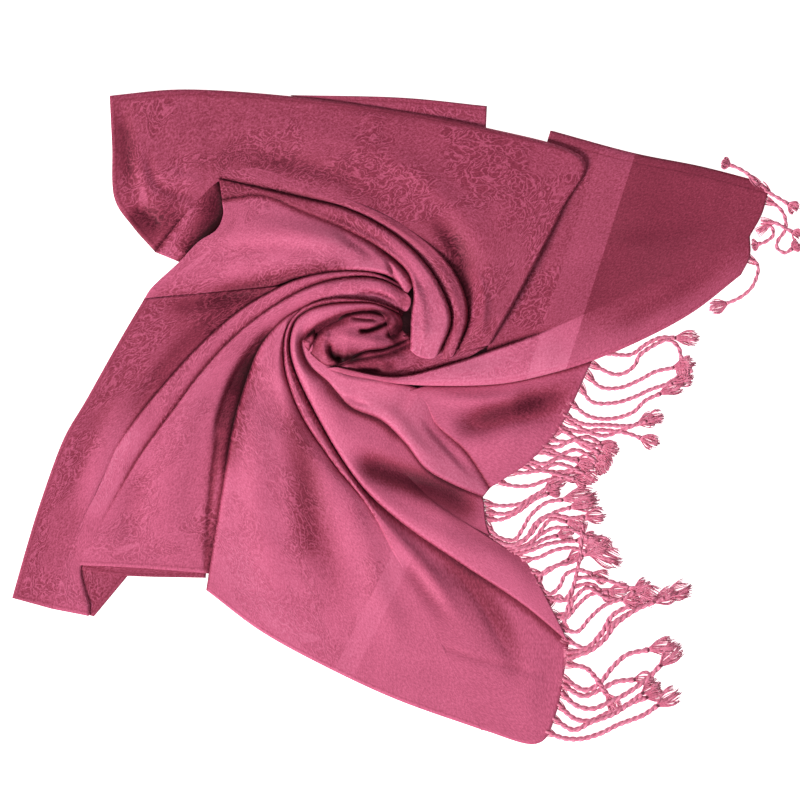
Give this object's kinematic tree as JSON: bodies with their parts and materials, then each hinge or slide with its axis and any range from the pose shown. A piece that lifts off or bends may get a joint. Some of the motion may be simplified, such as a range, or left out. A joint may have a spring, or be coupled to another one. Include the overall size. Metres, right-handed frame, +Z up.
{
  "type": "woven stole",
  "caption": "Woven stole with a tonal leaf jacquard, plain end bands and twisted fringe, laid flat and swirled in its middle into a rosette of folds.",
  "frame": {"origin": "middle of the overall box in plan, on the surface that the cloth lies on", "axes": "+Z up from that surface; +Y toward the long top edge of the cloth; +X toward the fringed ends"},
  "size_m": [0.788, 0.6526, 0.0319],
  "materials": {
    "cloth": "rose twill with a satin jacquard figure and a soft sheen",
    "inner_cloth": "the same cloth, out of sight below the folds",
    "fringe": "twisted two-ply yarn with brushed ends"
  },
  "bodies": {
    "root": {"top_panel": "cloth", "corner_fold": "cloth", "outer_arm": "cloth", "inner_arm": "cloth", "bright_petal": "cloth", "left_panel": "cloth", "left_ridge": "cloth", "side_panel": "cloth", "front_panel": "cloth", "front_ridge": "cloth", "low_panel": "cloth", "middle_panel": "cloth", "upper_panel": "cloth", "long_strip": "cloth", "tail_wrap": "cloth", "far_panel": "cloth", "heart_lobe": "cloth", "curl_strip": "cloth", "back_layer": "cloth", "side_under_layer": "cloth", "corner_flap": "cloth", "hidden_layers": "inner_cloth", "far_fringe": "fringe", "middle_fringe": "fringe", "low_fringe": "fringe", "front_fringe": "fringe"}
  },
  "joints": []
}
